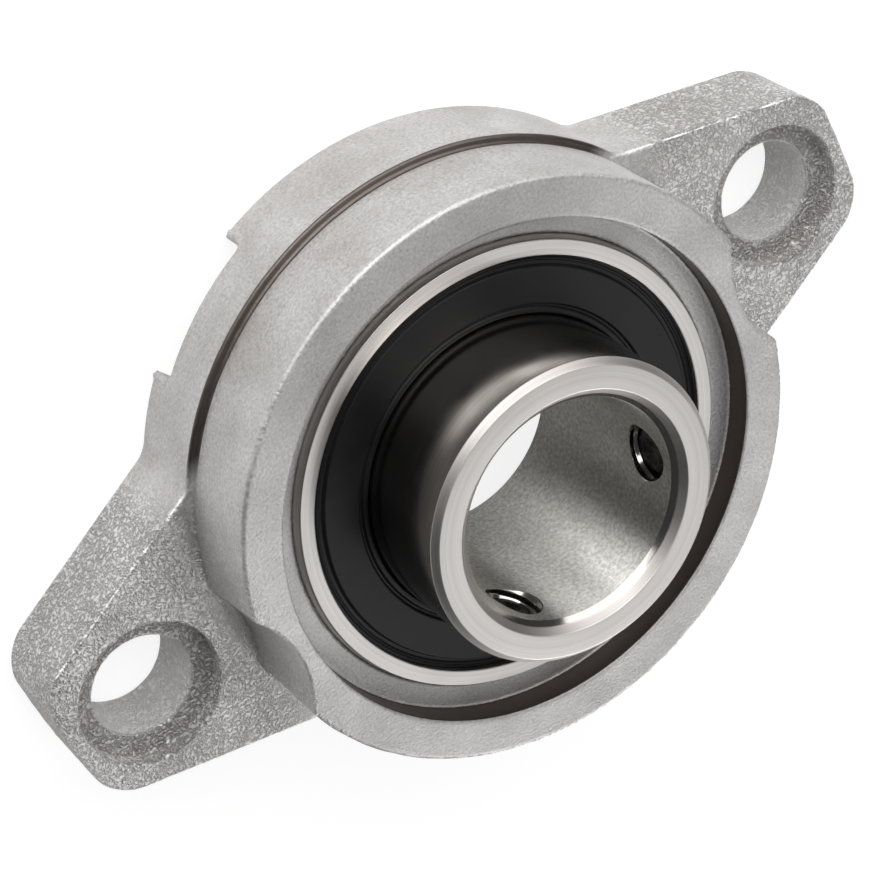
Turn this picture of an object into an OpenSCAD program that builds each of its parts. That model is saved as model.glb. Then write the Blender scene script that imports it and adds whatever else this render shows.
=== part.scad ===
// Two-bolt flanged ball-bearing unit for a 15 mm shaft.
// The mounting face lies in the plane z = 0, the bolt holes lie along X,
// and the shaft runs along Z through the origin.

/* [Flange] */
// Distance between the two bolt holes
bolt_spacing = 53; // [49:0.5:60]
// Bolt hole diameter
bolt_hole_d = 7; // [5:0.1:7.6]
// Diameter of the spot face round each bolt hole
spot_face_d = 9.9; // [8.5:0.1:11]
// Depth of the spot face
spot_face_depth = 1.2; // [0.4:0.1:2]
// Fillet round the floor of the spot face
spot_fillet = 0.3; // [0.1:0.05:0.8]
// Widening of each bolt hole at its rear mouth
flare_w = 0.65; // [0.2:0.05:1]
// Height over which the hole widens
flare_h = 0.45; // [0.2:0.05:0.5]
// Thickness of the ears and of the central disc
flange_t = 6.5; // [5.5:0.1:7.5]
// Metal left between a bolt hole's centre and the flat end of its ear
ear_end = 5.95; // [5.6:0.05:8]
// Taper of each ear's sides, measured from the line of the bolts
ear_taper = 21; // [16:0.5:26]
// Metal beside each bolt hole's centre, measured square to the ear's side
ear_side = 6.7; // [6:0.1:8]
// Radius of each ear's outer corners
ear_corner_r = 2.2; // [0.8:0.1:3]
// Chamfer on the ears' front edges
ear_edge = 0.35; // [0.1:0.05:0.6]
// Rounding of the rear edges of the ears and the disc
rear_edge = 0.4; // [0.1:0.05:0.8]

/* [Housing] */
// Height of the boss above the mounting face
boss_h = 13; // [12.4:0.1:14.5]
// Thickness of the rim round the front recess
rim_w = 2.8; // [2:0.1:4]
// Rounding of the boss's outer rim
rim_round = 0.5; // [0.2:0.05:1]
// Step from the radius of the seat out to the wall of the front recess
recess_step = 1.2; // [0.8:0.1:2]
// Depth of the front recess below the rim
recess_depth = 2; // [1.4:0.1:2.4]
// Thickness of the rim left behind the spanner relief round each bolt
relief_wall = 1.7; // [1:0.1:2.5]
// Draft of the spanner relief
relief_draft = 5; // [1:0.5:8]
// Depth of the two notches in the rear wall
notch_depth = 2; // [1:0.1:3]
// Direction of the loading slots, from the line of the bolts
slot_angle = 120; // [100:1:140]
// Width of the narrow ledge between the boss's foot and the edge of the disc
ledge_w = 0.5; // [0.4:0.05:1.5]
// Rounding of the disc's front edge
front_edge = 0.2; // [0.1:0.05:0.25]
// Fillet round the foot of the boss
foot_round = 0.25; // [0.1:0.05:0.5]

/* [Insert] */
// Distance of the swivel centre behind the front of the boss
seat_inset = 5.9; // [5.4:0.1:6.4]
// Diameter of the spherical seat
seat_d = 32; // [31.6:0.1:32.6]
// Gap between the seat and the outer ring, all round
seat_gap = 0.02; // [0.01:0.01:0.06]
// Width of the outer ring
ring_w = 9; // [8.8:0.1:9.6]
// Extra width of the loading slots over the outer ring
slot_gap = 0.4; // [0.2:0.1:0.8]
// Ball diameter
ball_d = 4.7625; // [4.5:0.0125:4.9]
// Number of balls
ball_count = 9; // [7:1:9]
// Gap between a ball and each raceway
race_gap = 0.02; // [0.01:0.01:0.05]
// Step from the ball centres out to the outer ring's shoulder
land_step = 1.3; // [1.2:0.05:1.6]
// Chamfer on the outer ring's edges
ring_edge = 0.1; // [0.05:0.05:0.3]

/* [Inner ring] */
// Shaft bore diameter
bore_d = 15; // [14:0.1:15.6]
// Step from the ball centres in to the inner ring's outside
tube_step = 1.5; // [1.3:0.05:1.7]
// Reach of the inner ring in front of the swivel centre
tube_front = 12; // [11:0.1:14]
// Chamfer at the mouth of the bore
bore_chamfer = 0.8; // [0.3:0.05:1.1]
// Chamfer on the outer front edge
tube_chamfer = 0.4; // [0.1:0.05:0.8]
// Chamfer at the rear end of the bore
bore_rear_chamfer = 0.55; // [0.2:0.05:0.8]
// Chamfer on the outer rear edge
tube_rear_chamfer = 0.3; // [0.1:0.05:0.6]

/* [Set screws] */
// Mean diameter of the set screws' thread
screw_d = 3.7; // [3:0.1:4.2]
// Gap between a set screw and its hole
screw_gap = 0.07; // [0.03:0.01:0.1]
// Length of a set screw
screw_l = 3; // [2.6:0.1:5]
// Chamfer at the outer mouth of each screw hole
screw_lead = 0.3; // [0.1:0.05:0.5]
// Distance of the screw axis from the front end of the tube
screw_inset = 3.6; // [3:0.1:4.5]
// Angle between the two set screws
screw_angle = 115; // [90:1:180]
// Direction half way between the two set screws
screw_mid = -78.2; // [-90:0.1:-60]
// Distance of the cup point from the shaft at rest
screw_lift = 0.4; // [0.2:0.05:0.8]
// Hexagon socket size across its flats
socket_af = 2; // [1.5:0.1:2.2]
// Depth of the hexagon socket
socket_depth = 1.4; // [0.8:0.1:1.6]
// Diameter of the cup in the point
cup_d = 2.1; // [1.4:0.1:2.3]
// Depth of the cup in the point
cup_depth = 0.5; // [0.2:0.05:0.7]
// Width of the flat rim round the cup
cup_rim = 0.25; // [0.1:0.05:0.4]
// Length of the cone behind the cup
tip_cone = 0.55; // [0.3:0.05:0.8]
// Chamfer round the socket end
screw_chamfer = 0.2; // [0.1:0.05:0.4]

/* [Cage] */
// Thickness of the cage strip
cage_t = 0.4; // [0.3:0.05:0.5]
// Radial width of the cage strip
cage_w = 2.2; // [1.8:0.1:2.3]
// Gap between a ball and its pocket
pocket_gap = 0.08; // [0.04:0.01:0.12]
// Rivet shank diameter
rivet_d = 0.9; // [0.6:0.05:1]
// Rivet head diameter
rivet_head_d = 1.5; // [1.2:0.05:1.6]
// Rivet head height
rivet_head_h = 0.35; // [0.2:0.05:0.4]

/* [Seals] */
// Width of the outer ring's flat face round each seal
ring_face = 1.05; // [0.8:0.05:1.4]
// How far the seal's face lies below the ring's face
seal_sink = 0.25; // [0.1:0.05:0.4]
// Thickness of the rubber over its steel plate
rubber_t = 0.55; // [0.4:0.05:0.6]
// Thickness of the steel plate
plate_t = 0.25; // [0.2:0.05:0.35]
// Gap between the seal lip and the inner ring
lip_gap = 0.05; // [0.02:0.01:0.1]
// Depth of the bead that holds the seal in its groove
bead_depth = 0.25; // [0.1:0.05:0.3]
// Height of the bead that holds the seal
bead_h = 0.45; // [0.3:0.05:0.5]
// Gap between the bead and its groove
bead_gap = 0.03; // [0.01:0.01:0.06]
// Width of the rubber round the edge of its plate
rubber_edge = 0.3; // [0.2:0.05:0.4]
// Width of the seal's outer groove, with the ridge in it
groove_w = 0.7; // [0.5:0.05:1]
// Depth of the seal's two grooves
groove_depth = 0.28; // [0.15:0.01:0.35]
// Width of the ridge's flank
ridge_w = 0.12; // [0.08:0.01:0.16]
// How far the ridge and the lip stay below the seal's face
ridge_sink = 0.1; // [0.05:0.01:0.15]
// Width of the lip
lip_w = 0.5; // [0.3:0.05:0.7]
// Width of the groove beside the lip
lip_groove = 0.25; // [0.15:0.05:0.4]

/* [Hidden] */
$fn = 96;
// Overlap that lets a cut pass clean through a face
eps = 0.5;

// Ears
bolt_x = bolt_spacing / 2;
ear_x = bolt_x + ear_end;
// Distance of an ear's side from the origin, square to the side
ear_d = bolt_x * sin(ear_taper) + ear_side;
corner_x = ear_x - ear_corner_r;
corner_y = (ear_d - ear_corner_r - sin(ear_taper) * corner_x) / cos(ear_taper);

// Housing
seat_r = seat_d / 2;
recess_r = seat_r + recess_step;
boss_r = recess_r + rim_w;
disc_r = boss_r + ledge_w;
relief_r = bolt_x - recess_r - relief_wall;
seat_z = boss_h - seat_inset;
ledge_z = boss_h - recess_depth;
rear_ledge_z = 2 * seat_z - ledge_z;
slot_w = ring_w + slot_gap;
foot_fillet = min(foot_round, ledge_w - front_edge);

// Insert
bore_r = bore_d / 2;
// The balls run half way between the bore and the seat
pitch_r = (bore_r + seat_r) / 2;
ball_r = ball_d / 2;
race_r = ball_r + race_gap;
land_r = pitch_r + land_step;
ring_r = seat_r - seat_gap;
face_r = sqrt(ring_r * ring_r - ring_w * ring_w / 4);
tube_r = pitch_r - tube_step;
tube_rear = ring_w / 2;

// Cage
pocket_r = ball_r + pocket_gap;
shell_r = pocket_r + cage_t;
ball_step = 360 / ball_count;

// Seals
seal_r = face_r - ring_face;
seal_top = ring_w / 2 - seal_sink;
plate_top = seal_top - rubber_t;
plate_bottom = plate_top - plate_t;
bead_r = seal_r + bead_depth - bead_gap;
edge_r = seal_r - rubber_edge;
lip_r = tube_r + lip_gap;
lip_out_r = lip_r + lip_w;
band_in_r = lip_out_r + lip_groove;

// Set screws
screw_r = screw_d / 2;
screw_z = tube_front - screw_inset;
tip_r = bore_r + screw_lift;
body_r = screw_r - screw_gap;
cup_r = cup_d / 2;

zinc = [0.72, 0.71, 0.70];
ground_steel = [0.80, 0.79, 0.77];
black_rubber = [0.13, 0.13, 0.14];
plated_steel = [0.62, 0.62, 0.60];
black_oxide = [0.18, 0.18, 0.18];

// Plan of both ears: two tapered tongues whose corners are round
module ear_plan() {
    polygon([
        [0, ear_d / cos(ear_taper)],
        [corner_x + ear_corner_r * sin(ear_taper), corner_y + ear_corner_r * cos(ear_taper)],
        [ear_x, corner_y],
        [ear_x, -corner_y],
        [corner_x + ear_corner_r * sin(ear_taper), -corner_y - ear_corner_r * cos(ear_taper)],
        [0, -ear_d / cos(ear_taper)]]);
    for (side = [-1, 1])
        translate([corner_x, side * corner_y]) circle(ear_corner_r);
}

// Section of a tool that takes off an edge: the metal lies at x < 0 and y < 0
module edge_section(size) {
    polygon([[-size, eps], [-size, 0], [0, -size], [eps, -size], [eps, eps]]);
}

// Takes off a straight edge between a side wall at x = 0 and a face at z = 0
module straight_edge(size, length) {
    rotate([90, 0, 0]) linear_extrude(height = length, center = true) edge_section(size);
}

// Takes off the edge of one round corner, between the end of an ear and its tapered side
module corner_edge(size) {
    reach = 3 * ear_corner_r;
    intersection() {
        rotate_extrude() translate([ear_corner_r, 0]) edge_section(size);
        linear_extrude(height = 4 * size, center = true)
            polygon([[0, 0], [reach, 0], [reach * sin(ear_taper), reach * cos(ear_taper)]]);
    }
}

// Takes off all edges of one face of an ear: its two tapered sides, its corners and its flat end
module face_edges(size) {
    // Where a side begins at the corner and ends over the shaft, measured along the side
    outer_end = corner_x * cos(ear_taper) - corner_y * sin(ear_taper);
    inner_end = ear_d * tan(ear_taper);
    for (side = [0, 1])
        mirror([0, side, 0]) {
            rotate([0, 0, 90 - ear_taper])
                translate([ear_d, (inner_end - outer_end) / 2, 0])
                    straight_edge(size, inner_end + outer_end);
            translate([corner_x, corner_y, 0]) corner_edge(size);
        }
    translate([ear_x, 0, 0]) straight_edge(size, 2 * corner_y);
}

module ear() {
    difference() {
        linear_extrude(height = flange_t) ear_plan();
        translate([0, 0, flange_t]) face_edges(ear_edge);
        mirror([0, 0, 1]) face_edges(rear_edge);
    }
}

// Half section of the disc and the boss, revolved about the shaft
module hub_section() {
    difference() {
        union() {
            square([disc_r - rear_edge, flange_t]);
            translate([0, rear_edge]) square([disc_r, flange_t - rear_edge - front_edge]);
            translate([0, rear_edge]) square([disc_r - front_edge, flange_t - rear_edge]);
            translate([disc_r - rear_edge, rear_edge]) circle(rear_edge);
            translate([disc_r - front_edge, flange_t - front_edge]) circle(front_edge);
            square([boss_r + foot_fillet, flange_t + foot_fillet]);
            square([boss_r, boss_h - rim_round]);
            square([boss_r - rim_round, boss_h]);
            translate([boss_r - rim_round, boss_h - rim_round]) circle(rim_round);
        }
        translate([boss_r + foot_fillet, flange_t + foot_fillet]) circle(foot_fillet);
    }
}

// Front recess, spherical seat and rear opening
module seat_space() {
    translate([0, 0, seat_z]) sphere(seat_r);
    translate([0, 0, ledge_z]) cylinder(r = recess_r, h = recess_depth + eps);
    translate([0, 0, -eps]) cylinder(r = recess_r, h = rear_ledge_z + eps);
}

// The outer ring enters on edge here and is then turned into its seat
module loading_slots() {
    rotate([0, 0, slot_angle]) {
        intersection() {
            translate([-seat_r - eps, -slot_w / 2, -eps]) cube([2 * (seat_r + eps), slot_w, seat_z + eps]);
            translate([0, 0, -eps]) cylinder(r = seat_r, h = seat_z + 2 * eps);
        }
        translate([-disc_r - eps, -slot_w / 2, -eps]) cube([2 * (disc_r + eps), slot_w, notch_depth + eps]);
    }
}

// Bolt hole, its wider rear mouth, its spot face and the spanner relief
module bolt_space() {
    hole_r = bolt_hole_d / 2;
    spot_r = spot_face_d / 2;
    relief_h = boss_h - flange_t;
    translate([0, 0, -eps]) cylinder(r = hole_r, h = flange_t + 2 * eps);
    translate([0, 0, -eps])
        cylinder(r1 = hole_r + flare_w * (1 + eps / flare_h), r2 = hole_r, h = flare_h + eps);
    translate([0, 0, flange_t - spot_face_depth])
        rotate_extrude() {
            square([spot_r - spot_fillet, spot_face_depth + relief_h]);
            translate([0, spot_fillet]) square([spot_r, spot_face_depth + relief_h - spot_fillet]);
            translate([spot_r - spot_fillet, spot_fillet]) circle(spot_fillet);
        }
    translate([0, 0, flange_t])
        cylinder(r1 = relief_r, r2 = relief_r + (relief_h + eps) * tan(relief_draft), h = relief_h + eps);
}

module housing() {
    color(zinc)
        difference() {
            union() {
                ear();
                mirror([1, 0, 0]) ear();
                rotate_extrude() hub_section();
            }
            seat_space();
            loading_slots();
            for (side = [-1, 1])
                translate([side * bolt_x, 0, 0]) bolt_space();
        }
}

// Half section of the outer ring: a slice of a ball with one raceway and two seal seats
module outer_ring_section() {
    half = ring_w / 2;
    difference() {
        intersection() {
            circle(ring_r);
            polygon([
                [land_r, -half],
                [face_r - ring_edge, -half],
                [face_r, -half + ring_edge],
                [ring_r + eps, -half + ring_edge],
                [ring_r + eps, half - ring_edge],
                [face_r, half - ring_edge],
                [face_r - ring_edge, half],
                [land_r, half]]);
        }
        translate([pitch_r, 0]) circle(race_r);
        for (side = [-1, 1])
            scale([1, side])
                polygon([
                    [land_r - eps, plate_bottom],
                    [seal_r + bead_depth, plate_bottom],
                    [seal_r + bead_depth, plate_bottom + bead_h],
                    [seal_r, plate_bottom + bead_h + bead_depth / 2],
                    [seal_r, half + eps],
                    [land_r - eps, half + eps]]);
    }
}

module outer_ring() {
    color(ground_steel)
        translate([0, 0, seat_z]) rotate_extrude() outer_ring_section();
}

// Half section of the inner ring, whose long side is the tube that holds the set screws
module inner_ring_section() {
    difference() {
        polygon([
            [bore_r, -tube_rear + bore_rear_chamfer],
            [bore_r + bore_rear_chamfer, -tube_rear],
            [tube_r - tube_rear_chamfer, -tube_rear],
            [tube_r, -tube_rear + tube_rear_chamfer],
            [tube_r, tube_front - tube_chamfer],
            [tube_r - tube_chamfer, tube_front],
            [bore_r + bore_chamfer, tube_front],
            [bore_r, tube_front - bore_chamfer]]);
        translate([pitch_r, 0]) circle(race_r);
    }
}

// Puts a child that lies along X in the place of one set screw
module at_screw(number) {
    turn = screw_mid + (number == 1 ? 1 : -1) * screw_angle / 2;
    translate([0, 0, seat_z + screw_z]) rotate([0, 0, turn]) rotate([0, 90, 0]) children();
}

module inner_ring() {
    color(ground_steel)
        difference() {
            translate([0, 0, seat_z]) rotate_extrude() inner_ring_section();
            for (number = [1, 2])
                at_screw(number) {
                    translate([0, 0, bore_r - 2 * eps])
                        cylinder(r = screw_r, h = tube_r - bore_r + 4 * eps);
                    translate([0, 0, tube_r - screw_lead])
                        cylinder(r1 = screw_r, r2 = screw_r + screw_lead + eps, h = screw_lead + eps);
                }
        }
}

module ball(number) {
    color(ground_steel)
        rotate([0, 0, (number - 1) * ball_step]) translate([pitch_r, 0, seat_z]) sphere(ball_r);
}

// One pressed half of the cage: a flat strip that rises over each ball as a round pocket
module cage_half() {
    difference() {
        intersection() {
            union() {
                cylinder(r = pitch_r + cage_w / 2, h = cage_t);
                for (i = [0:ball_count - 1])
                    rotate([0, 0, i * ball_step]) translate([pitch_r, 0, 0]) sphere(shell_r);
            }
            difference() {
                cylinder(r = pitch_r + cage_w / 2, h = shell_r + eps);
                translate([0, 0, -eps]) cylinder(r = pitch_r - cage_w / 2, h = shell_r + 3 * eps);
            }
        }
        for (i = [0:ball_count - 1])
            rotate([0, 0, i * ball_step]) {
                translate([pitch_r, 0, 0]) sphere(pocket_r);
                rotate([0, 0, ball_step / 2])
                    translate([pitch_r, 0, -eps]) cylinder(r = rivet_d / 2, h = cage_t + 2 * eps, $fn = 24);
            }
    }
}

module cage_front() {
    color(plated_steel) translate([0, 0, seat_z]) cage_half();
}

module cage_rear() {
    color(plated_steel) translate([0, 0, seat_z]) mirror([0, 0, 1]) cage_half();
}

module rivet_head() {
    cylinder(r1 = rivet_head_d / 2, r2 = rivet_head_d / 3, h = rivet_head_h, $fn = 24);
}

// Rivets that join the two halves of the cage between the balls
module cage_rivets() {
    color(plated_steel)
        translate([0, 0, seat_z])
            for (i = [0:ball_count - 1])
                rotate([0, 0, (i + 0.5) * ball_step])
                    translate([pitch_r, 0, 0]) {
                        cylinder(r = rivet_d / 2, h = 2 * cage_t, center = true, $fn = 24);
                        for (side = [0, 1])
                            mirror([0, 0, side])
                                translate([0, 0, cage_t]) rivet_head();
                    }
}

// Half section of a seal's rubber: bead, outer groove with a ridge, flat band, inner groove and lip
module rubber_section() {
    band_out_r = seal_r - groove_w;
    ridge_r = seal_r - groove_w / 2;
    groove_floor = seal_top - groove_depth;
    ridge_top = seal_top - ridge_sink;
    bead_top = plate_bottom + bead_h - bead_gap;
    polygon([
        [lip_r, groove_floor],
        [lip_r + ridge_w, ridge_top],
        [lip_out_r - ridge_w, ridge_top],
        [lip_out_r, groove_floor],
        [band_in_r - ridge_w, groove_floor],
        [band_in_r, seal_top],
        [band_out_r - ridge_w, seal_top],
        [band_out_r, groove_floor],
        [ridge_r - ridge_w, groove_floor],
        [ridge_r, ridge_top],
        [ridge_r + ridge_w, groove_floor],
        [seal_r - bead_gap, groove_floor],
        [seal_r - bead_gap, bead_top + bead_depth / 2],
        [bead_r, bead_top],
        [bead_r, plate_bottom + bead_gap],
        [edge_r, plate_bottom + bead_gap],
        [edge_r, plate_top],
        [lip_r, plate_top]]);
}

// Half section of the steel plate that stiffens a seal from inside
module plate_section() {
    translate([band_in_r, plate_bottom]) square([edge_r - band_in_r, plate_t]);
}

module front_seal() {
    color(black_rubber)
        translate([0, 0, seat_z]) rotate_extrude() rubber_section();
}

module rear_seal() {
    color(black_rubber)
        translate([0, 0, seat_z]) mirror([0, 0, 1]) rotate_extrude() rubber_section();
}

module front_seal_plate() {
    color(plated_steel)
        translate([0, 0, seat_z]) rotate_extrude() plate_section();
}

module rear_seal_plate() {
    color(plated_steel)
        translate([0, 0, seat_z]) mirror([0, 0, 1]) rotate_extrude() plate_section();
}

// Set screw with a hexagon socket outside and a cup point towards the shaft
module set_screw(number) {
    color(black_oxide)
        at_screw(number)
            translate([0, 0, tip_r])
                difference() {
                    union() {
                        cylinder(r1 = cup_r + cup_rim, r2 = body_r, h = tip_cone);
                        translate([0, 0, tip_cone])
                            cylinder(r = body_r, h = screw_l - tip_cone - screw_chamfer);
                        translate([0, 0, screw_l - screw_chamfer])
                            cylinder(r1 = body_r, r2 = body_r - screw_chamfer, h = screw_chamfer);
                    }
                    translate([0, 0, -eps])
                        cylinder(r1 = cup_r * (1 + eps / cup_depth), r2 = 0, h = cup_depth + eps);
                    translate([0, 0, screw_l - socket_depth])
                        cylinder(d = socket_af / cos(30), h = socket_depth + eps, $fn = 6);
                }
}

housing();
outer_ring();
inner_ring();
for (i = [1:ball_count])
    ball(i);
cage_front();
cage_rear();
cage_rivets();
front_seal();
front_seal_plate();
rear_seal();
rear_seal_plate();
set_screw(1);  // set_screw_1
set_screw(2);  // set_screw_2
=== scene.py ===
import math

import bmesh
import bpy
import numpy as np
from mathutils import Matrix, Vector

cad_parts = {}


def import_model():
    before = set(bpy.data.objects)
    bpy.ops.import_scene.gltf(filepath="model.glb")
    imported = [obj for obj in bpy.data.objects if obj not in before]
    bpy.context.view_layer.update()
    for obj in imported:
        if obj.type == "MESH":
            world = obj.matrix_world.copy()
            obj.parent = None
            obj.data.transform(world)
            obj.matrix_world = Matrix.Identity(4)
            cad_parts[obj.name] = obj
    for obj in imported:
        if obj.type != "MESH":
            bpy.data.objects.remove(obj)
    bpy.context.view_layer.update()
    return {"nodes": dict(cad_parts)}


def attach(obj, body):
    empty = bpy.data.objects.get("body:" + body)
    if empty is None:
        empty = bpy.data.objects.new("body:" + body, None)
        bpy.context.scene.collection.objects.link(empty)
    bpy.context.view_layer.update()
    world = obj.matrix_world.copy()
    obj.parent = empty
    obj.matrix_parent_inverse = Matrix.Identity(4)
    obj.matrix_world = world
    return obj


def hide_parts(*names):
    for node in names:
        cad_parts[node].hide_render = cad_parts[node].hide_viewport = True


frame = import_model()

MM = 0.001
NODES = frame["nodes"]

# Sizes of the casting, as the solid has them
BOLT_X = 26.5
EAR_TAPER = math.radians(21)
EAR_X = BOLT_X + 5.95
EAR_D = BOLT_X * math.sin(EAR_TAPER) + 6.7
EAR_CORNER_R = 2.2
EAR_BOW = 0.006
EAR_ROOT_R = 0.4
FLANGE_T = 6.5
HOLE_WALL_R = 3.5
SPOT_R = 4.95
SPOT_DEPTH = 1.2
SPOT_FILLET = 0.3
FLARE_W = 0.65
FLARE_H = 0.45
RELIEF_R = 7.6
RELIEF_DRAFT = math.radians(5)
BOSS_H = 13.0
BOSS_R = 20.0
LEDGE_Y = 10.8
DISC_R = 20.5
RECESS_R = 17.2
RECESS_DEPTH = 2.0
REAR_LEDGE_Z = 3.2
SLOT_TURN = math.radians(120)
SLOT_W = 9.4
NOTCH_DEPTH = 2.0
NOTCH_CORNER_R = 0.4
SEAT_Z = 7.1
SEAT_R = 16.0
SEAT_PLAY = 0.01

# Sizes of the two rings. Heights are over the swivel centre.
RING_W = 9.0
RING_R = 15.98
RING_EDGE = 0.12
FACE_R = 15.33
LAND_R = 13.05
PITCH_R = 11.75
RACE_R = 2.4
OUTER_RACE = 0.998
INNER_RACE = 0.9
BORE_R = 7.5
TUBE_R = 10.25
TUBE_FRONT = 12.0
TUBE_REAR = 4.5
BORE_CHAMFER_FRONT = 0.8
BORE_CHAMFER_REAR = 0.55
TUBE_CHAMFER_FRONT = 0.4
TUBE_CHAMFER_REAR = 0.3

# Sizes of the seals and of the grooves that hold them
SEAL_R = 14.28
SEAL_TOP = 4.25
SEAL_PLAY = 0.03
GROOVE = 0.28
RIDGE_DROP = 0.1
LIP_PLAY = 0.05
BEAD = 0.25
BEAD_TOP = 3.995
BEAD_SHOULDER = 3.87
HOLDER_TOP = 4.02
HOLDER_SHOULDER = 3.9
PLATE_BOTTOM = 3.45
PLATE_T = 0.25
PLATE_INSET = 0.3

# Sizes of the set screws and their holes
SCREW_Z = 8.4
SCREW_ANGLES = (-20.7, -135.7)
THREAD_PITCH = 0.7
HOLE_R = 1.85
HOLE_THREAD = 0.16
HOLE_SPAN = (5.6, 11.6)
HOLE_MOUTH = ((TUBE_R - 0.35, HOLE_R - 0.05), (TUBE_R + 0.35, HOLE_R + 0.65))
SCREW_R = 1.78
SCREW_THREAD = 0.24
SCREW_L = 3.0
TIP_R = 7.9
SOCKET_R = 2 / math.sqrt(3)
SOCKET_DEPTH = 1.4
SOCKET_SIDES = 6
OVERCUT = 0.3

# Rounding of the casting's edges, from crisp die edges to worn ones
CRISP = 0.06
SPOT_EDGE = 0.1
EASED = 0.12
WORN = 0.14
HOLE_EDGE = 0.15
RELIEF_EDGE = 0.18
NOTCH_EDGE = 0.2
REAR_EDGE = 0.3

# The most of an outline's side that one rounding may take
SIDE_SHARE = 0.48


# Meshes

def new_piece(name, verts, faces):
    """Makes an object from points in millimetres."""
    mesh = bpy.data.meshes.new(name)
    mesh.from_pydata([tuple(v) for v in np.asarray(verts, float) * MM], [], [tuple(f) for f in faces])
    mesh.update()
    piece = bpy.data.objects.new(name, mesh)
    bpy.context.scene.collection.objects.link(piece)
    return piece


def settle(piece):
    """Applies a piece's modifiers to its mesh."""
    view = bpy.context.evaluated_depsgraph_get()
    made = bpy.data.meshes.new_from_object(piece.evaluated_get(view))
    piece.modifiers.clear()
    piece.data = made
    return piece


def smooth(piece, angle=32):
    """Smooth shading that keeps true corners sharp and flat faces flat."""
    piece.data.shade_smooth()
    piece.data.set_sharp_from_angle(angle=math.radians(angle))
    flats = piece.modifiers.new("flats", "WEIGHTED_NORMAL")
    flats.keep_sharp = True
    return piece


def rounded(corners, steps=4):
    """Turns corners given as (radius, height, rounding) into an outline with true arcs."""
    points = []
    count = len(corners)
    for i, (x, z, r) in enumerate(corners):
        here = np.array([x, z], float)
        if r <= 0:
            points.append(here)
            continue
        back = np.array(corners[i - 1][:2], float) - here
        ahead = np.array(corners[(i + 1) % count][:2], float) - here
        back_l, ahead_l = np.linalg.norm(back), np.linalg.norm(ahead)
        back, ahead = back / back_l, ahead / ahead_l
        half = math.acos(max(-1, min(1, float(back @ ahead)))) / 2
        reach = min(r / math.tan(half), SIDE_SHARE * back_l, SIDE_SHARE * ahead_l)
        r = reach * math.tan(half)
        middle = here + (back + ahead) / np.linalg.norm(back + ahead) * r / math.sin(half)
        start, end = here + back * reach - middle, here + ahead * reach - middle
        sweep = math.atan2(start[0] * end[1] - start[1] * end[0], float(start @ end))
        for k in range(steps + 1):
            a = sweep * k / steps
            turn = np.array([[math.cos(a), -math.sin(a)], [math.sin(a), math.cos(a)]])
            points.append(middle + turn @ start)
    return points


def quads(rows, around, closed=False):
    """Faces that join rows of points, each row a ring; closed joins the last row to the first."""
    faces = []
    for i in range(rows if closed else rows - 1):
        here, ahead = i * around, (i + 1) % rows * around
        for j in range(around):
            k = (j + 1) % around
            faces.append((here + j, ahead + j, ahead + k, here + k))
    return faces


def revolve(name, outline, steps=288):
    """Turns a closed outline of (radius, height over the swivel centre) points about the shaft."""
    turn = np.arange(steps) * 2 * math.pi / steps
    verts = [(r * math.cos(a), r * math.sin(a), SEAT_Z + z) for a in turn for r, z in outline]
    n = len(outline)
    piece = new_piece(name, verts, quads(steps, n, closed=True))
    area = sum(outline[j - 1][0] * outline[j][1] - outline[j][0] * outline[j - 1][1] for j in range(n))
    if area > 0:
        piece.data.flip_normals()
    return piece


def rod(name, rows):
    """A closed rod along X through rows of (place, radii), one radius for each step round it."""
    around = len(rows[0][1])
    turn = np.arange(around) * 2 * math.pi / around
    verts = [(x, r * math.cos(a), r * math.sin(a)) for x, radii in rows for r, a in zip(radii, turn)]
    faces = quads(len(rows), around)
    faces.append(tuple(range(around)))
    faces.append(tuple((len(rows) - 1) * around + j for j in reversed(range(around))))
    return new_piece(name, verts, faces)


def threaded_rod(name, crest, root, start, end, around=56, per_pitch=12):
    """A closed rod along X whose side is one helical thread with narrow flats and sloping flanks."""
    steepness, flat = 2.7, 0.12
    count = int(round((end - start) / THREAD_PITCH * per_pitch)) + 1
    turn = np.arange(around) / around
    rows = []
    for x in np.linspace(start, end, count):
        phase = (x / THREAD_PITCH - turn) % 1
        flank = np.clip(np.abs(phase - 0.5) * steepness - flat, 0, 1)
        rows.append((x, crest + (root - crest) * flank))
    return rod(name, rows)


def turned_rod(name, stations, around=56):
    """A closed rod along X, turned through (place, radius) stations."""
    return rod(name, [(x, [r] * around) for x, r in stations])


def to_screw(piece, angle):
    """Turns a piece made along X to one set screw's line."""
    piece.data.transform(
        Matrix.Translation((0, 0, (SEAT_Z + SCREW_Z) * MM)) @ Matrix.Rotation(math.radians(angle), 4, "Z")
    )
    return piece


def outward(piece):
    """Makes all faces of a closed piece face out."""
    bm = bmesh.new()
    bm.from_mesh(piece.data)
    bmesh.ops.recalc_face_normals(bm, faces=bm.faces)
    bm.to_mesh(piece.data)
    bm.free()
    return piece


def cut(piece, tool, how="DIFFERENCE"):
    """Cuts one closed piece by another and throws the tool away."""
    step = piece.modifiers.new("cut", "BOOLEAN")
    step.object = outward(tool)
    step.operation = how
    step.solver = "EXACT"
    settle(outward(piece))
    bpy.data.objects.remove(tool)
    return piece


# Materials

# A Mix node's inputs by number: its share, its two numbers and its two colours
SHARE, NUMBER_A, NUMBER_B, COLOUR_A, COLOUR_B = 0, 2, 3, 6, 7

# The span of values that a noise texture mostly gives
NOISE = {"From Min": 0.3, "From Max": 0.7}


def linear(hex_colour):
    """An sRGB hex colour as linear numbers."""
    values = [int(hex_colour[i:i + 2], 16) / 255 for i in (1, 3, 5)]
    return tuple(v / 12.92 if v <= 0.04045 else ((v + 0.055) / 1.055) ** 2.4 for v in values) + (1.0,)


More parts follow.
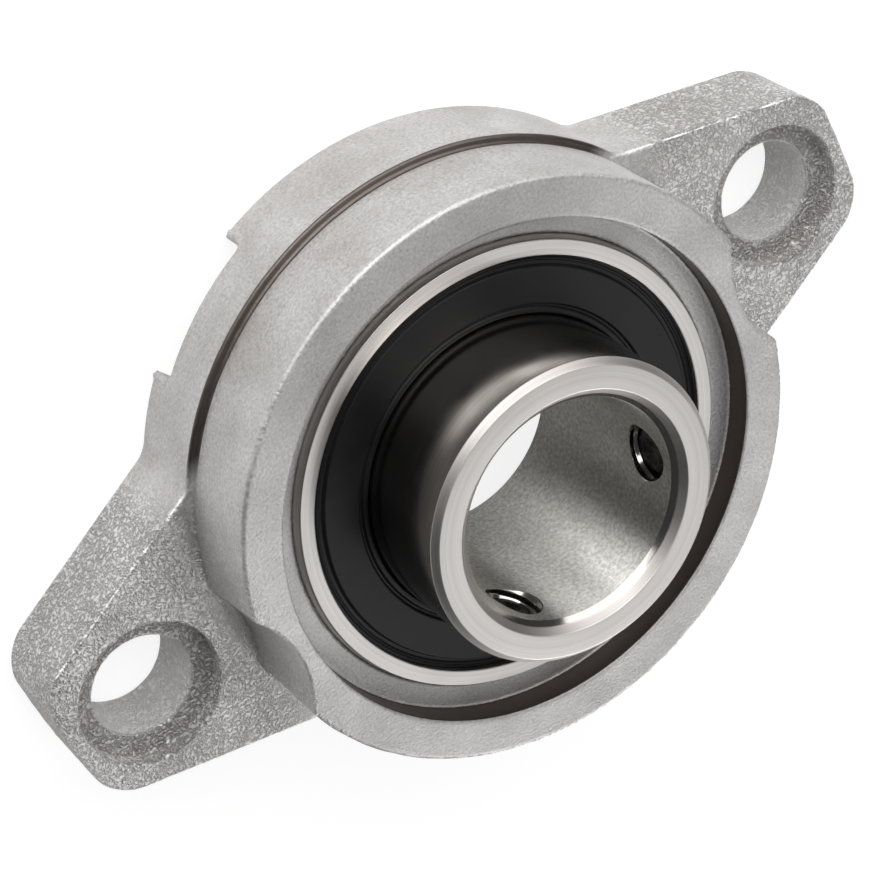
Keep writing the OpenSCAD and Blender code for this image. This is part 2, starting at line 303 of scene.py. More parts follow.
def add(tree, kind, settings=(), links=(), stops=()):
    """Adds one node with its settings, the links into it and, on a ramp, its (place, hex colour) stops.

    A Math node's inputs go by number from 0. The first output comes back, or a Mix node's colour.
    """
    made = tree.nodes.new("ShaderNode" + kind)
    for name, value in dict(settings).items():
        if isinstance(name, str) and hasattr(made, name):
            setattr(made, name, value)
        else:
            made.inputs[name].default_value = value
    for name, source in dict(links).items():
        tree.links.new(source, made.inputs[name])
    for number, (place, colour) in enumerate(stops):
        elements = made.color_ramp.elements
        element = elements[number] if number < len(elements) else elements.new(place)
        element.position = place
        element.color = linear(colour)
    return made.outputs[2] if kind == "Mix" and made.data_type == "RGBA" else made.outputs[0]


def finish(name, colour, metallic, roughness, **more):
    """A material with one Principled shader, and with it its tree, its shader and the place in metres."""
    material = bpy.data.materials.new(name)
    material.use_nodes = True
    tree = material.node_tree
    surface = tree.nodes["Principled BSDF"]
    surface.inputs["Base Color"].default_value = linear(colour)
    surface.inputs["Metallic"].default_value = metallic
    surface.inputs["Roughness"].default_value = roughness
    for key, value in more.items():
        surface.inputs[key.replace("_", " ")].default_value = value
    place = add(tree, "TexCoord").node.outputs["Object"]
    return material, tree, surface, place


def wired(material, surface, sources):
    """Links each source to the shader's socket of that name and returns the material."""
    for socket, source in sources.items():
        material.node_tree.links.new(source, surface.inputs[socket])
    return material


def per_mm(size):
    """Scale of a pattern whose features are this many millimetres wide."""
    return 1 / (size * MM)


def distance_at(tree, a, b):
    """Distance from a line at two offsets square to each other."""
    total = add(tree, "Math", {"operation": "POWER", 1: 2.0}, {0: a})
    total = add(tree, "Math", {"operation": "MULTIPLY_ADD"}, {0: b, 1: b, 2: total})
    return add(tree, "Math", {"operation": "SQRT"}, {0: total})


def casting_zones(tree, place):
    """Shares 0 to 1: turned faces with painted shade, holes with painted light, an ear's long edge, an ear.
    """
    fade, spot_share, hole_light_share = 1.5, 0.28, 0.5
    ear_from, ear_full = 18, 21
    axes = add(tree, "SeparateXYZ", {}, {"Vector": place}).node.outputs
    out = add(tree, "Math", {"operation": "ABSOLUTE"}, {0: axes["X"]})
    beside = add(tree, "Math", {"operation": "ABSOLUTE"}, {0: axes["Y"]})
    shaft = distance_at(tree, out, beside)
    past = add(tree, "Math", {"operation": "SUBTRACT", 1: BOLT_X * MM}, {0: out})
    bolt = distance_at(tree, past, beside)
    side = add(tree, "Math", {"operation": "MULTIPLY", 1: math.cos(EAR_TAPER)}, {0: beside})
    side = add(tree, "Math", {"operation": "MULTIPLY_ADD", 1: math.sin(EAR_TAPER)}, {0: out, 2: side})
    # Ledge, recess wall, spot face and ear edge: a distance, its middle and half width, and those in height
    bands = []
    for centre, radius, wide, height, tall in (
        (shaft, BOSS_R + 0.25, 0.36, FLANGE_T + 0.02, 0.26),
        (shaft, RECESS_R, 0.1, BOSS_H - RECESS_DEPTH / 2, 0.92),
        (bolt, (SPOT_R + HOLE_WALL_R) / 2, 0.85, FLANGE_T - SPOT_DEPTH, 0.16),
        (side, EAR_D - 0.03, 0.1, FLANGE_T - 0.03, 0.1),
    ):
        near = add(tree, "Math", {"operation": "COMPARE", 1: radius * MM, 2: wide * MM}, {0: centre})
        level = add(tree, "Math", {"operation": "COMPARE", 1: height * MM, 2: tall * MM}, {0: axes["Z"]})
        bands.append(add(tree, "Math", {"operation": "MULTIPLY"}, {0: near, 1: level}))
    ledge, wall, spot, edge = bands
    fades = {"From Min": LEDGE_Y * MM, "From Max": (LEDGE_Y + fade) * MM}
    free = add(tree, "MapRange", fades, {"Value": beside})
    ledge = add(tree, "Math", {"operation": "MULTIPLY"}, {0: ledge, 1: free})
    # Turned faces, whose colour also gets painted shade
    turned_and_shaded = add(tree, "Math", {"operation": "MAXIMUM"}, {0: ledge, 1: wall})
    spot = add(tree, "Math", {"operation": "MULTIPLY", 1: spot_share}, {0: spot})
    turned_and_shaded = add(tree, "Math", {"operation": "MAXIMUM"}, {0: turned_and_shaded, 1: spot})
    # Painted light: the bolt holes' walls are lightened towards white
    hole_light = add(tree, "Math", {"operation": "LESS_THAN", 1: (HOLE_WALL_R + 0.1) * MM}, {0: bolt})
    hole_light = add(tree, "Math", {"operation": "MULTIPLY", 1: hole_light_share}, {0: hole_light})
    ear = add(tree, "MapRange", {"From Min": ear_from * MM, "From Max": ear_full * MM}, {"Value": out})
    return turned_and_shaded, hole_light, edge, ear


def blasted_zinc():
    """Die-cast zinc after shot blasting: pale and dull, even on the boss, with sparkling dents on the ears.

    The dents are about 0.1 mm wide on the real one, and two to four times as wide here, so that they show.
    The ledge, the recess wall and the spot faces were turned after blasting and are smooth, and painted
    shade darkens them. Painted light brightens the bolt holes' walls. Here and there along the long edges of
    the ears, a painted highlight lightens the colour, and the skin is smoother there.
    """
    material, tree, surface, place = finish("blasted_zinc_casting", "#d4d2d0", 1.0, 0.62)
    turned_and_shaded, hole_light, edge, ear = casting_zones(tree, place)
    grains = {"Detail": 2, "Roughness": 0.6}
    fine = add(tree, "TexNoise", {"Scale": per_mm(0.2), **grains}, {"Vector": place})
    coarse = add(tree, "TexNoise", {"Scale": per_mm(0.36), **grains}, {"Vector": place})
    patch = add(tree, "TexNoise", {"Scale": per_mm(5), "Detail": 3}, {"Vector": place})
    nicks = add(tree, "TexNoise", {"Scale": per_mm(1.2), "Detail": 3}, {"Vector": place})
    breaks = {"From Min": 0.4, "From Max": 0.6, "To Min": 0.15, "To Max": 0.8}
    kept = add(tree, "MapRange", breaks, {"Value": nicks})
    # A painted highlight along the ears' long edges, broken into pieces, where the skin is also smoother
    edge_highlight = add(tree, "Math", {"operation": "MULTIPLY"}, {0: edge, 1: kept})
    even = add(tree, "Math", {"operation": "MAXIMUM"}, {0: turned_and_shaded, 1: edge_highlight})
    away = add(tree, "Math", {"operation": "SUBTRACT", 1: 0.5}, {0: coarse})
    away = add(tree, "Math", {"operation": "ABSOLUTE"}, {0: away})
    dent = add(tree, "MapRange", {"From Max": 0.15, "To Min": 0.2, "To Max": 0.8}, {"Value": away})
    grit = add(tree, "Mix", {"data_type": "FLOAT"}, {SHARE: ear, NUMBER_A: fine, NUMBER_B: dent})
    depth = add(tree, "MapRange", {"To Min": 0.05 * MM, "To Max": 0.34 * MM}, {"Value": ear})
    strength = add(tree, "MapRange", {"To Min": 1.0, "To Max": 0.1}, {"Value": even})
    dents = add(tree, "Bump", {}, {"Height": grit, "Distance": depth, "Strength": strength})
    contrast = add(tree, "MapRange", {"To Min": 0.35, "To Max": 0.5}, {"Value": ear})
    shown = add(tree, "Mix", {"data_type": "FLOAT", NUMBER_A: 0.5}, {SHARE: contrast, NUMBER_B: grit})
    tone = add(tree, "ValToRGB", {}, {"Fac": shown}, ((0.3, "#9c9997"), (0.5, "#d8d6d5"), (0.7, "#fdfcfb")))
    cloud = add(tree, "ValToRGB", {}, {"Fac": patch}, ((0.3, "#e6e5e4"), (0.7, "#ffffff")))
    blend = {"data_type": "RGBA", "blend_type": "MULTIPLY", SHARE: 1.0}
    shade = add(tree, "Mix", blend, {COLOUR_A: tone, COLOUR_B: cloud})
    # Painted light in the bolt holes, a painted highlight along the ears' edges, and painted shade on the
    # turned faces
    for share, colour in ((hole_light, "#ffffff"), (edge_highlight, "#fffefc"), (turned_and_shaded, "#665f5b")):
        over = {"data_type": "RGBA", COLOUR_B: linear(colour)}
        shade = add(tree, "Mix", over, {SHARE: share, COLOUR_A: shade})
    dull = add(tree, "MapRange", {**NOISE, "To Min": 0.54, "To Max": 0.68}, {"Value": grit})
    gloss = add(tree, "MapRange", {"To Min": 1.0, "To Max": 0.7}, {"Value": even})
    rough = add(tree, "Math", {"operation": "MULTIPLY"}, {0: dull, 1: gloss})
    return wired(material, surface, {"Base Color": shade, "Roughness": rough, "Normal": dents})


def ground_steel(name, low, high, end=0.0, painted_shade=0.0):
    """Hardened bearing steel, ground round the shaft: bright, with hair-fine rings and a haze of handling.

    The rings are about 0.02 mm wide on the real one, and 0.14 mm here, so that they show. The roughness
    runs from low to high with the haze, and rises by end at the tube's front. Behind the front face, painted
    shade tints the steel darker and brown by this share.
    """
    material, tree, surface, place = finish(name, "#cfccc9", 1.0, low)
    front = SEAT_Z + TUBE_FRONT
    axes = add(tree, "SeparateXYZ", {}, {"Vector": place}).node.outputs
    flat = add(tree, "CombineXYZ", {}, {"X": axes["X"], "Y": axes["Y"]})
    shaft = add(tree, "VectorMath", {"operation": "LENGTH"}, {0: flat}).node.outputs["Value"]
    section = add(tree, "CombineXYZ", {}, {"X": shaft, "Y": axes["Z"]})
    rings = add(tree, "TexNoise", {"Scale": per_mm(0.14), "Detail": 2}, {"Vector": section})
    haze = add(tree, "TexNoise", {"Scale": per_mm(3), "Detail": 3}, {"Vector": place})
    grooves = add(tree, "Bump", {"Strength": 0.3, "Distance": 0.0015 * MM}, {"Height": rings})
    tone = add(tree, "ValToRGB", {}, {"Fac": rings}, ((0.35, "#cac7c4"), (0.65, "#d8d5d2")))
    gloss = add(tree, "MapRange", {**NOISE, "To Min": low, "To Max": high}, {"Value": haze})
    rises = {"From Min": (front - 0.5) * MM, "From Max": (front - 0.4) * MM, "To Max": end}
    face = add(tree, "MapRange", rises, {"Value": axes["Z"]})
    rough = add(tree, "Math", {"operation": "ADD"}, {0: gloss, 1: face})
    # Painted shade: behind the front face, the side and the chamfers are tinted darker and brown
    fades = {"From Min": (front - 0.07) * MM, "From Max": (front - 0.03) * MM, "To Min": painted_shade, "To Max": 0}
    share = add(tree, "MapRange", fades, {"Value": axes["Z"]})
    shade_tint = {"data_type": "RGBA", COLOUR_B: linear("#8c8580")}
    shade = add(tree, "Mix", shade_tint, {SHARE: share, COLOUR_A: tone})
    return wired(material, surface, {"Base Color": shade, "Roughness": rough, "Normal": grooves})


def honed_bore():
    """Bearing steel, ground and honed: round scratches stretch each light into a band along the bore.

    The honing left grains of about 0.05 mm on the real one. They are 0.25 mm here, so that they show.
    """
    material, tree, surface, place = finish(
        "honed_bore_steel", "#dedcd7", 1.0, 0.5, Anisotropic=1.0, Anisotropic_Rotation=0.25
    )
    along = add(tree, "Tangent", {"direction_type": "RADIAL", "axis": "Z"})
    grains = {"Scale": per_mm(0.25), "Detail": 2, "Roughness": 0.6}
    specks = add(tree, "TexNoise", grains, {"Vector": place})
    haze = add(tree, "TexNoise", {"Scale": per_mm(2.5), "Detail": 3}, {"Vector": place})
    skin = add(tree, "Bump", {"Strength": 0.5, "Distance": 0.012 * MM}, {"Height": specks})
    stops = ((0.32, "#c4c1bc"), (0.55, "#e0ded9"), (0.75, "#f4f2ee"))
    tone = add(tree, "ValToRGB", {}, {"Fac": specks}, stops)
    rough = add(tree, "MapRange", {**NOISE, "To Min": 0.45, "To Max": 0.56}, {"Value": haze})
    sources = {"Base Color": tone, "Roughness": rough, "Normal": skin, "Tangent": along}
    return wired(material, surface, sources)


def lapped_balls():
    """Through-hardened chrome steel, lapped to a mirror with a faint haze."""
    material, tree, surface, place = finish("lapped_chrome_steel", "#d5d3d0", 1.0, 0.08)
    haze = add(tree, "TexNoise", {"Scale": per_mm(1.5), "Detail": 2}, {"Vector": place})
    rough = add(tree, "MapRange", {**NOISE, "To Min": 0.05, "To Max": 0.12}, {"Value": haze})
    return wired(material, surface, {"Roughness": rough})


def pressed_strip():
    """Cold-rolled steel strip after pressing: satin, with soft rolling streaks."""
    material, tree, surface, place = finish("pressed_cold_rolled_steel", "#a9a7a2", 1.0, 0.38)
    streaks = add(tree, "TexNoise", {"Scale": per_mm(0.8), "Detail": 3}, {"Vector": place})
    skin = add(tree, "Bump", {"Strength": 0.3, "Distance": 0.01 * MM}, {"Height": streaks})
    tone = add(tree, "ValToRGB", {}, {"Fac": streaks}, ((0.3, "#8f8d88"), (0.7, "#b9b7b2")))
    rough = add(tree, "MapRange", {**NOISE, "To Min": 0.3, "To Max": 0.45}, {"Value": streaks})
    return wired(material, surface, {"Base Color": tone, "Roughness": rough, "Normal": skin})


def moulded_rubber():
    """Moulded nitrile rubber: black, satin from its mould, with a trace of dust and wiped grease.

    The mould's grain is about 0.1 mm wide on the real one, and 0.3 mm here, so that it shows.
    """
    material, tree, surface, place = finish(
        "moulded_nitrile_rubber", "#111112", 0.0, 0.45, Specular_IOR_Level=0.3
    )
    grain = add(tree, "TexNoise", {"Scale": per_mm(0.3), "Detail": 3}, {"Vector": place})
    wiped = add(tree, "TexNoise", {"Scale": per_mm(4), "Detail": 4}, {"Vector": place})
    skin = add(tree, "Bump", {"Strength": 0.25, "Distance": 0.01 * MM}, {"Height": grain})
    tone = add(tree, "ValToRGB", {}, {"Fac": wiped}, ((0.35, "#0d0d0e"), (0.7, "#171718")))
    rough = add(tree, "MapRange", {**NOISE, "To Min": 0.36, "To Max": 0.52}, {"Value": wiped})
    return wired(material, surface, {"Base Color": tone, "Roughness": rough, "Normal": skin})


def black_oxide():
    """Alloy steel after black oxide: near black, lightly oiled, and worn bright in small spots."""
    material, tree, surface, place = finish("black_oxide_steel", "#2b2a29", 0.9, 0.3)
    wear = add(tree, "TexNoise", {"Scale": per_mm(0.4), "Detail": 3}, {"Vector": place})
    skin = add(tree, "Bump", {"Strength": 0.2, "Distance": 0.01 * MM}, {"Height": wear})
    tone = add(tree, "ValToRGB", {}, {"Fac": wear}, ((0.45, "#1f1e1e"), (0.75, "#5b5955")))
    rough = add(tree, "MapRange", {**NOISE, "To Min": 0.22, "To Max": 0.4}, {"Value": wear})
    return wired(material, surface, {"Base Color": tone, "Roughness": rough, "Normal": skin})


def dress(piece, *finishes):
    """Gives a piece its finishes in place of any that it has."""
    piece.data.materials.clear()
    for material in finishes:
        piece.data.materials.append(material)
    return piece


def hold(piece, body, slot, replaced, *finishes):
    """Gives a piece its finishes and its body, and hides the solid that it stands for. The slot is not used.
    """
    dress(piece, *finishes)
    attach(piece, body)
    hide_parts(replaced)
    return piece


ZINC = blasted_zinc()
RING_STEEL = ground_steel("ground_outer_ring_steel", 0.3, 0.38)
TUBE_STEEL = ground_steel("ground_inner_ring_steel", 0.13, 0.19, end=0.3, painted_shade=0.45)
BORE_STEEL = honed_bore()
BALL_STEEL = lapped_balls()
STRIP_STEEL = pressed_strip()
RUBBER = moulded_rubber()
BLACK_STEEL = black_oxide()


# The casting: the solid's own faces, with worn round edges and a faintly uneven, blasted skin

# Burrs that the die left beside the notches: height and width, place past the notch, and fade upwards
BURR = 0.25
BURR_PLACE = 0.2
BURR_FADE = 0.4

# Nicks of the boss's rim: the mean rounding, and lumps of it as (width, height, seed)
NICK = 0.16
NICKS = ((0.8, 0.16, 4), (3.0, 0.1, 5))

# Lumps of the cast skin as (width, height, further height on the ears, seed), and where the skin fades in
LUMPS = ((6.0, 0.03, 0, 1), (1.7, 0.016, 0, 2), (0.5, 0.008, 0.014, 3))
SKIN_START = 0.15
SKIN_FADE = 0.3

# Numbers that scramble a lump's cell and seed into its height
SCRAMBLE = (73856093, 19349663, 83492791)
SEED_SCRAMBLE = 2654435761
SECOND_SCRAMBLE = 1274126177
SEED_SHIFT = 17.3
LOW_BITS = 0x7FFFFFFF
LEVELS = 65536

# How the solid's faces are drawn on to the casting's form: the width of the grid, the passes over it and the
# steps in each, a step's greatest length, the least slope that it trusts, and how far neighbours even out
GRID = 0.155
PASSES = 4
STEPS = 2
LONGEST_STEP = 0.15
LEAST_SLOPE = 0.25
EVENING = 0.4


def filleted(a, b, r):
    """Joins two distance fields with a fillet of this radius between them."""
    return np.maximum(r, np.minimum(a, b)) - np.hypot(np.maximum(r - a, 0), np.maximum(r - b, 0))


def rounded_common(a, b, r):
    """What two distance fields share, with its edge rounded to this radius."""
    return -filleted(-a, -b, r)


def rounded_less(a, b, r):
    """The first distance field less the second, with its edge rounded to this radius."""
    return rounded_common(a, -b, r)


def lumps(p, size, seed):
    """Smooth random height from -1 to 1, whose lumps are this many millimetres apart."""
    q = p / size + seed * SEED_SHIFT
    cell = np.floor(q)
    part = q - cell
    part = part * part * (3 - 2 * part)
    cell = cell.astype(np.int64)
    total = np.zeros(len(p))
    for corner in range(8):
        step = np.array([corner & 1, corner >> 1 & 1, corner >> 2 & 1])
        i, j, k = ((cell + step) * SCRAMBLE).T
        mixed = (i ^ j ^ k ^ seed * SEED_SCRAMBLE) & LOW_BITS
        mixed = (mixed ^ mixed >> 13) * SECOND_SCRAMBLE & LOW_BITS
        weight = np.prod(np.where(step, part, 1 - part), axis=1)
        total += weight * ((mixed ^ mixed >> 16) % LEVELS / (LEVELS / 2) - 1)
    return total


def flange_form(z, out, beside, shaft, across):
    """The disc, whose edge is crisp, with its burrs and its two ears, whose edges are worn."""
    low = np.clip((NOTCH_DEPTH - z) / BURR_FADE, 0, 1)
    burr = BURR * np.exp(-((across - BURR_PLACE) / BURR) ** 2) * low
    side = math.sin(EAR_TAPER) * out + math.cos(EAR_TAPER) * beside - EAR_D
    end = out - EAR_X + EAR_BOW * beside * beside
    plan = filleted(rounded_common(side, end, EAR_CORNER_R), shaft - DISC_R - burr, EAR_ROOT_R)
    worn = CRISP + (WORN - CRISP) * np.clip(shaft - DISC_R - 0.1, 0, 1)
    return rounded_common(plan, z - FLANGE_T, worn)


def boss_form(p, z, shaft, bolt):
    """The boss, whose rim is nicked here and there, with its two spanner reliefs."""
    nicked = np.full(len(p), WORN)
    rim = (z > BOSS_H - 1) & (shaft > BOSS_R - 1)
    nicks = (tall * lumps(p[rim], wide, seed) for wide, tall, seed in NICKS)
    nicked[rim] = np.maximum(sum(nicks, NICK), CRISP)
    boss = rounded_common(shaft - BOSS_R, z - BOSS_H, nicked)
    relief = (bolt - RELIEF_R - (z - FLANGE_T) * math.tan(RELIEF_DRAFT)) * math.cos(RELIEF_DRAFT)
    return rounded_less(boss, relief, RELIEF_EDGE)


def cast_form(p):
    """Distance of each point from the casting's surface, in millimetres."""
    x, y, z = p.T
    out = np.abs(x)
    shaft = np.hypot(x, y)
    bolt = np.hypot(out - BOLT_X, y)
    across = np.abs(y * math.cos(SLOT_TURN) - x * math.sin(SLOT_TURN)) - SLOT_W / 2
    flange = flange_form(z, out, np.abs(y), shaft, across)
    body = rounded_common(filleted(flange, boss_form(p, z, shaft, bolt), CRISP), -z, REAR_EDGE)
    flare = (bolt - HOLE_WALL_R - FLARE_W * (1 - z / FLARE_H)) * FLARE_H / math.hypot(FLARE_H, FLARE_W)
    # Recess, rear opening, seat, loading slots, their notches, bolt holes, their flares and spot faces
    spaces = (
        (np.maximum(shaft - RECESS_R, BOSS_H - RECESS_DEPTH - z), EASED),
        (np.maximum(shaft - RECESS_R, z - REAR_LEDGE_Z), EASED),
        (np.hypot(shaft, z - SEAT_Z) - SEAT_R - SEAT_PLAY, CRISP),
        (np.maximum(np.maximum(across, z - SEAT_Z), shaft - SEAT_R), EASED),
        (rounded_common(across, z - NOTCH_DEPTH, NOTCH_CORNER_R), NOTCH_EDGE),
        (bolt - HOLE_WALL_R, HOLE_EDGE),
        (flare, EASED),
        (rounded_common(bolt - SPOT_R, FLANGE_T - SPOT_DEPTH - z, SPOT_FILLET), SPOT_EDGE),
    )
    for space, edge in spaces:
        body = rounded_less(body, space, edge)
    return body


def cast_skin(p):
    """Height of the casting's uneven skin, which fades out on the machined faces."""
    x, y, z = p.T
    shaft = np.hypot(x, y)
    over_rear = np.clip((z - SKIN_START) / SKIN_FADE, 0, 1)
    past_recess = np.clip((shaft - RECESS_R - SKIN_START) / SKIN_FADE, 0, 1)
    ear = np.clip(shaft - DISC_R, 0, 1)
    height = sum((tall + more * ear) * lumps(p, wide, seed) for wide, tall, more, seed in LUMPS)
    return over_rear * past_recess * height


def cast_distance(p):
    """Distance of each point from the casting's surface with its uneven skin."""
    return cast_form(p) - cast_skin(p)


def slope(field, p, here, step=0.004):
    """Direction in which a distance field grows, from its value here."""
    return np.stack([(field(p + axis) - here) / step for axis in np.eye(3) * step], axis=1)


def housing_casting():
    """The solid's housing on an even grid of points, which are drawn on to the casting's form."""
    piece = bpy.data.objects.new("housing_casting", NODES["housing"].data.copy())
    bpy.context.scene.collection.objects.link(piece)
    skin = piece.modifiers.new("skin", "REMESH")
    skin.mode = "VOXEL"
    skin.voxel_size = GRID * MM
    settle(piece)
    for lap in range(PASSES):
        mesh = piece.data
        co = np.zeros(len(mesh.vertices) * 3, np.float32)
        mesh.vertices.foreach_get("co", co)
        points = co.reshape(-1, 3).astype(float) / MM
        for _ in range(STEPS):
            here = cast_distance(points)
            grown = slope(cast_distance, points, here)
            grown /= np.maximum((grown * grown).sum(1, keepdims=True), LEAST_SLOPE)
            move = here[:, None] * grown
            reach = np.linalg.norm(move, axis=1, keepdims=True)
            points -= move * np.minimum(1, LONGEST_STEP / np.maximum(reach, 1e-9))
        mesh.vertices.foreach_set("co", (points * MM).astype(np.float32).ravel())
        mesh.update()
        if lap < PASSES - 1:
            even = piece.modifiers.new("even", "SMOOTH")
            even.factor = EVENING
            even.iterations = 1
            settle(piece)
    piece.data.shade_smooth()
    return hold(piece, "housing", "zinc_casting", "housing", ZINC)


# The insert

def raceway(middle, half_angle, points=17):
    """Points along a raceway's groove, about the angle of its middle on the ball."""
    return [
        (PITCH_R + RACE_R * math.cos(a), RACE_R * math.sin(a), 0)
        for a in np.linspace(middle - half_angle, middle + half_angle, points)
    ]


def outer_ring():
    """Outer ring of the insert, round outside, with its raceway and the two grooves that hold the seals."""
    half = RING_W / 2
    dome_end = half - RING_EDGE
    heights = np.linspace(dome_end, -dome_end, num=25)
    dome = [(math.sqrt(RING_R ** 2 - z ** 2), z, 0) for z in heights]
    front, rear = [
        [
            (SEAL_R, s * half, 0.08),
            (SEAL_R, s * HOLDER_TOP, 0),
            (SEAL_R + BEAD, s * HOLDER_SHOULDER, 0.04),
            (SEAL_R + BEAD, s * PLATE_BOTTOM, 0.04),
            (LAND_R, s * PLATE_BOTTOM, 0.1),
        ]
        for s in (1, -1)
    ]
    edges = [(FACE_R, half, 0.1)] + dome + [(FACE_R, -half, 0.1)]
    corners = edges + rear + raceway(0, OUTER_RACE) + front[::-1]
    piece = smooth(revolve("insert_outer_ring", rounded(corners)))
    return hold(piece, "insert", "ring_steel", "outer_ring", RING_STEEL)


def inner_ring():
    """Inner ring, drawn out as the tube, with its raceway, its bore and two tapped holes."""
    corners = [
        (BORE_R, -TUBE_REAR + BORE_CHAMFER_REAR, 0.1),
        (BORE_R + BORE_CHAMFER_REAR, -TUBE_REAR, 0.08),
        (TUBE_R - TUBE_CHAMFER_REAR, -TUBE_REAR, 0.08),
        (TUBE_R, -TUBE_REAR + TUBE_CHAMFER_REAR, 0.08),
        *raceway(math.pi, INNER_RACE)[::-1],
        (TUBE_R, TUBE_FRONT - TUBE_CHAMFER_FRONT, 0.12),
        (TUBE_R - TUBE_CHAMFER_FRONT, TUBE_FRONT, 0.1),
        (BORE_R + BORE_CHAMFER_FRONT, TUBE_FRONT, 0.1),
        (BORE_R, TUBE_FRONT - BORE_CHAMFER_FRONT, 0.12),
    ]
    piece = revolve("insert_inner_ring", rounded(corners))
    for number, angle in enumerate(SCREW_ANGLES, 1):
        tap = threaded_rod(f"tap_{number}", HOLE_R + HOLE_THREAD, HOLE_R, *HOLE_SPAN)
        cut(piece, to_screw(tap, angle))
        mouth = turned_rod(f"mouth_{number}", HOLE_MOUTH)
        cut(piece, to_screw(mouth, angle))
    smooth(piece, angle=34)
    hold(piece, "inner_ring", "ring_steel", "inner_ring", TUBE_STEEL, BORE_STEEL)
    for face in piece.data.polygons:
        x, y, _ = face.center / MM
        face.material_index = int(math.hypot(x, y) < BORE_R + 0.02)
    return piece


def seal(name, side, replaced):
    """Rubber seal: its lip, inner groove, flat band, outer groove with a ridge in it, bead and back."""
    bottom = SEAL_TOP - GROOVE
    ridge = SEAL_TOP - RIDGE_DROP
    lip = TUBE_R + LIP_PLAY
    rim = SEAL_R - SEAL_PLAY
    bead = SEAL_R + BEAD - SEAL_PLAY
    under = PLATE_BOTTOM + SEAL_PLAY
    back = PLATE_BOTTOM + PLATE_T
    corners = [
        (lip, bottom, 0.03),
        (lip + 0.1, ridge, 0.05),
        (lip + 0.38, ridge, 0.08),
        (lip + 0.5, bottom, 0.05),
        (lip + 0.64, bottom, 0.05),
        (lip + 0.75, SEAL_TOP, 0.08),
        (SEAL_R - 0.82, SEAL_TOP, 0.08),
        (SEAL_R - 0.7, bottom, 0.05),
        (SEAL_R - 0.47, bottom, 0.05),
        (SEAL_R - 0.35, ridge, 0.08),
        (SEAL_R - 0.23, bottom, 0.05),
        (rim, bottom, 0.04),
        (rim, BEAD_TOP, 0),
        (bead, BEAD_SHOULDER, 0.05),
        (bead, under, 0.05),
        (SEAL_R - PLATE_INSET, under, 0),
        (SEAL_R - PLATE_INSET, back, 0),
        (lip, back, 0.03),
    ]
    piece = revolve(name, [(r, side * z) for r, z in rounded(corners, 3)])
    return hold(smooth(piece, angle=50), "insert", "seal_rubber", replaced, RUBBER)


def set_screw(number, angle):
    """Cup-point set screw with a hexagon socket and a rolled thread."""
    name = f"set_screw_{number}"
    skin = SCREW_R + 0.02
    rolled = (SCREW_R, SCREW_R - SCREW_THREAD, -OVERCUT, SCREW_L + OVERCUT)
    blank = [(0, 1.3), (0.55, skin), (SCREW_L - 0.25, skin), (SCREW_L, 1.5)]
    cup = [(-0.2, 1.25), (0.5, 0.02)]
    socket = [(SCREW_L - SOCKET_DEPTH, SOCKET_R), (SCREW_L + 0.4, SOCKET_R)]
    piece = threaded_rod(f"threaded_{name}", *rolled)
    cut(piece, turned_rod("blank", blank), "INTERSECT")
    cut(piece, turned_rod("cup", cup))
    cut(piece, turned_rod("socket", socket, SOCKET_SIDES))
    piece.data.transform(Matrix.Translation((TIP_R * MM, 0, 0)))
    smooth(to_screw(piece, angle), angle=40)
    return hold(piece, name, "screw_steel", name, BLACK_STEEL)


housing_casting()
outer_ring()
inner_ring()
seal("front_rubber_seal", 1, "front_seal")
seal("rear_rubber_seal", -1, "rear_seal")
for number, angle in enumerate(SCREW_ANGLES, 1):
    set_screw(number, angle)

# The balls, the cage and the seal plates are the solids' own
for name, node in NODES.items():
    if name.startswith("ball_"):
        dress(node, BALL_STEEL)
    if name.startswith("cage_") or name.endswith("_plate"):
        dress(node, STRIP_STEEL)
    node.data.shade_smooth()
    node.data.set_sharp_from_angle(angle=math.radians(30))


# Floor, light and camera

WHITE = (1, 1, 1, 1)
FLOOR_REACH = 3000
ROOM_LIGHT = 0.06

# Panels as (angle around, angle up, watts, side in metres): the strong, wide window, a fill beside it, a low
# one behind the object, one that the steel's flat faces mirror to the camera, and two faint ones
PANELS = (
    (62, 34, 4.0, 0.75),
    (100, 24, 1.5, 0.42),
    (270, 15, 1.35, 0.28),
    (289, 50, 0.7, 0.5),
    (320, 14, 0.12, 0.2),
    (0, 90, 0.1, 0.4),
)
PANEL_DISTANCE = 600 * MM
PANEL_AIM = Vector((0, 0, 8)) * MM

# The photo's viewpoint, fitted to its circles: two angles, a roll, and a distance from a spot on the floor
VIEW_AROUND = 109.2609
VIEW_UP = 51.0791
VIEW_ROLL = 126.4104
VIEW_AIM = Vector((-0.332, -2.887, 0)) * MM
VIEW_DISTANCE = 197.597 * MM
LENS = 121.74
SENSOR_W = 36


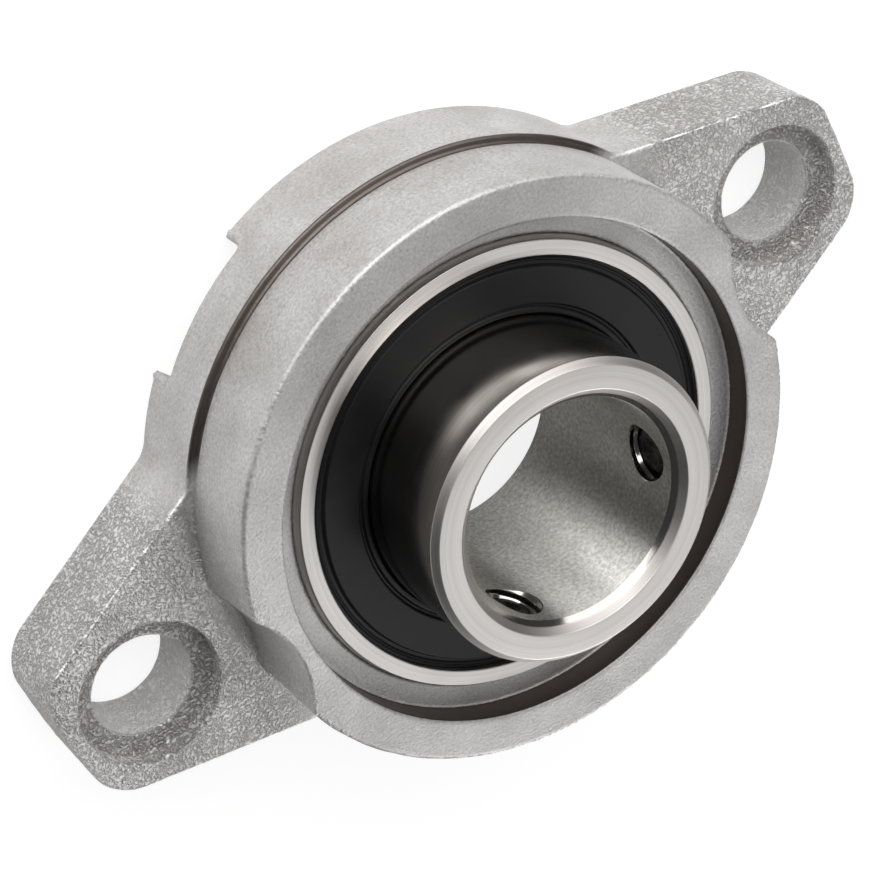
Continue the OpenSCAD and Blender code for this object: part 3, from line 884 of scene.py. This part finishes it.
def floor():
    """Pale paper that the camera sees as white, with the object's soft shadow on it."""
    r = FLOOR_REACH
    piece = new_piece("floor", [(-r, -r, 0), (r, -r, 0), (r, r, 0), (-r, r, 0)], [(0, 1, 2, 3)])
    material = bpy.data.materials.new("white_paper_floor")
    material.use_nodes = True
    tree = material.node_tree
    tree.nodes.remove(tree.nodes["Principled BSDF"])
    paper = add(tree, "BsdfDiffuse", {"Color": linear("#e8e8e8")})
    lit = add(tree, "Emission", {"Color": WHITE, "Strength": 0.156})
    glow = add(tree, "AddShader", {}, {0: paper, 1: lit})
    bright = add(tree, "Emission", {"Color": WHITE, "Strength": 0.86})
    faint = add(tree, "BsdfDiffuse", {"Color": linear("#818181")})
    seen = add(tree, "AddShader", {}, {0: bright, 1: faint})
    camera_ray = add(tree, "LightPath")
    mix = add(tree, "MixShader", {}, {0: camera_ray, 1: glow, 2: seen})
    tree.links.new(mix, tree.nodes["Material Output"].inputs["Surface"])
    dress(piece, material)


def world():
    """A room that the camera sees as white and that lights the object faintly."""
    made = bpy.data.worlds.new("studio")
    made.use_nodes = True
    bpy.context.scene.world = made
    tree = made.node_tree
    camera_ray = add(tree, "LightPath")
    strength = add(tree, "MapRange", {"To Min": ROOM_LIGHT, "To Max": 1.0}, {"Value": camera_ray})
    back = tree.nodes["Background"]
    back.inputs["Color"].default_value = WHITE
    tree.links.new(strength, back.inputs["Strength"])


def direction(around, up):
    """Unit vector at an angle around the shaft and an angle over the floor, in degrees."""
    around, up = math.radians(around), math.radians(up)
    return Vector((math.cos(around) * math.cos(up), math.sin(around) * math.cos(up), math.sin(up)))


def placed(name, data, aim, towards, distance, roll=0.0):
    """An object this far from a point, which it faces, with a roll in degrees."""
    made = bpy.data.objects.new(name, data)
    bpy.context.scene.collection.objects.link(made)
    facing = towards.to_track_quat("Z", "Y").to_matrix().to_4x4()
    rolled = Matrix.Rotation(math.radians(roll), 4, "Z")
    made.matrix_world = Matrix.Translation(aim + towards * distance) @ facing @ rolled
    return made


def panel(name, around, up, watts, side):
    """A soft square panel that faces the object, placed by its two angles in degrees."""
    data = bpy.data.lights.new(name, "AREA")
    data.shape = "SQUARE"
    data.size = side
    data.energy = watts
    placed(name, data, PANEL_AIM, direction(around, up), PANEL_DISTANCE)


def camera():
    """The camera at the photo's viewpoint."""
    data = bpy.data.cameras.new("camera")
    data.sensor_width = SENSOR_W
    data.lens = LENS
    data.clip_start = 0.01
    towards = direction(VIEW_AROUND, VIEW_UP)
    bpy.context.scene.camera = placed("camera", data, VIEW_AIM, towards, VIEW_DISTANCE, VIEW_ROLL)


floor()
world()
for number, values in enumerate(PANELS, 1):
    panel(f"panel_{number}", *values)
camera()
bpy.context.scene.view_settings.view_transform = "Standard"
